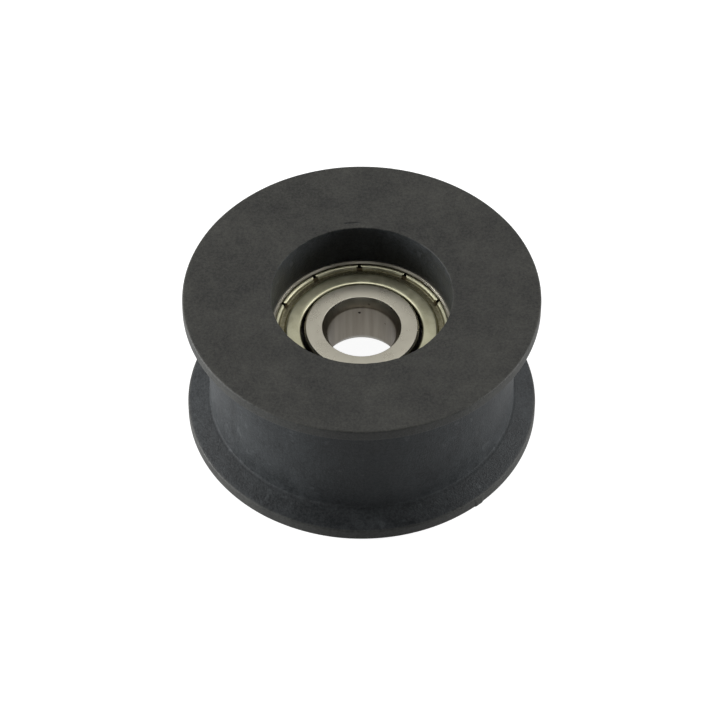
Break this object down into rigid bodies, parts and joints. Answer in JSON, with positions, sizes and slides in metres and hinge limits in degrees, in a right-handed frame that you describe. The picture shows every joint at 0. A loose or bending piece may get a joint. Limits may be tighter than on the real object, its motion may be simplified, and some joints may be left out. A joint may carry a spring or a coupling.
{
  "type": "tiller pulley",
  "caption": "Flanged black nylon idler pulley with a plain belt drum and a shielded ball bearing set deep between two round pockets.",
  "frame": {"origin": "centre of the lower flange's flat face, which the pulley stands on", "axes": "+Z along the bore's axis, towards the shallower pocket; X and Y are equal"},
  "size_m": [0.052, 0.052, 0.0243],
  "materials": {
    "wheel_nylon": "moulded, fine grain",
    "ring_steel": "ground",
    "shield_zinc": "pressed, plated",
    "cage_steel": "pressed",
    "ball_steel": "polished"
  },
  "bodies": {
    "hub": {"inner_ring": "ring_steel"},
    "wheel": {"pulley_body": "wheel_nylon", "outer_ring": "ring_steel", "shield_upper": "shield_zinc", "shield_lower": "shield_zinc"},
    "cage": {"cage_upper": "cage_steel", "cage_lower": "cage_steel", "cage_rivets": "cage_steel"},
    "rolling_ball_1": {"ball_1": "ball_steel"},
    "rolling_ball_2": {"ball_2": "ball_steel"},
    "rolling_ball_3": {"ball_3": "ball_steel"},
    "rolling_ball_4": {"ball_4": "ball_steel"},
    "rolling_ball_5": {"ball_5": "ball_steel"},
    "rolling_ball_6": {"ball_6": "ball_steel"},
    "rolling_ball_7": {"ball_7": "ball_steel"},
    "rolling_ball_8": {"ball_8": "ball_steel"}
  },
  "joints": [
    {"name": "pulley_spin", "type": "hinge", "parent": "hub", "child": "wheel", "pos_m": [0, 0, 0.0128], "axis": [0, 0, 1], "continuous": true},
    {"name": "cage_spin", "type": "hinge", "parent": "hub", "child": "cage", "pos_m": [0, 0, 0.0128], "axis": [0, 0, 1], "continuous": true},
    {"name": "ball_1_spin", "type": "hinge", "parent": "cage", "child": "rolling_ball_1", "pos_m": [0.01, 0, 0.0128], "axis": [0, 0, 1], "continuous": true},
    {"name": "ball_2_spin", "type": "hinge", "parent": "cage", "child": "rolling_ball_2", "pos_m": [0.00707, 0.00707, 0.0128], "axis": [0, 0, 1], "continuous": true},
    {"name": "ball_3_spin", "type": "hinge", "parent": "cage", "child": "rolling_ball_3", "pos_m": [0, 0.01, 0.0128], "axis": [0, 0, 1], "continuous": true},
    {"name": "ball_4_spin", "type": "hinge", "parent": "cage", "child": "rolling_ball_4", "pos_m": [-0.00707, 0.00707, 0.0128], "axis": [0, 0, 1], "continuous": true},
    {"name": "ball_5_spin", "type": "hinge", "parent": "cage", "child": "rolling_ball_5", "pos_m": [-0.01, 0, 0.0128], "axis": [0, 0, 1], "continuous": true},
    {"name": "ball_6_spin", "type": "hinge", "parent": "cage", "child": "rolling_ball_6", "pos_m": [-0.00707, -0.00707, 0.0128], "axis": [0, 0, 1], "continuous": true},
    {"name": "ball_7_spin", "type": "hinge", "parent": "cage", "child": "rolling_ball_7", "pos_m": [0, -0.01, 0.0128], "axis": [0, 0, 1], "continuous": true},
    {"name": "ball_8_spin", "type": "hinge", "parent": "cage", "child": "rolling_ball_8", "pos_m": [0.00707, -0.00707, 0.0128], "axis": [0, 0, 1], "continuous": true}
  ],
  "couplings": [
    {"joint": "cage_spin", "follows": "pulley_spin", "ratio": 0.619},
    {"joint": "ball_1_spin", "follows": "pulley_spin", "ratio": 1.9818},
    {"joint": "ball_2_spin", "follows": "pulley_spin", "ratio": 1.9818},
    {"joint": "ball_3_spin", "follows": "pulley_spin", "ratio": 1.9818},
    {"joint": "ball_4_spin", "follows": "pulley_spin", "ratio": 1.9818},
    {"joint": "ball_5_spin", "follows": "pulley_spin", "ratio": 1.9818},
    {"joint": "ball_6_spin", "follows": "pulley_spin", "ratio": 1.9818},
    {"joint": "ball_7_spin", "follows": "pulley_spin", "ratio": 1.9818},
    {"joint": "ball_8_spin", "follows": "pulley_spin", "ratio": 1.9818}
  ]
}
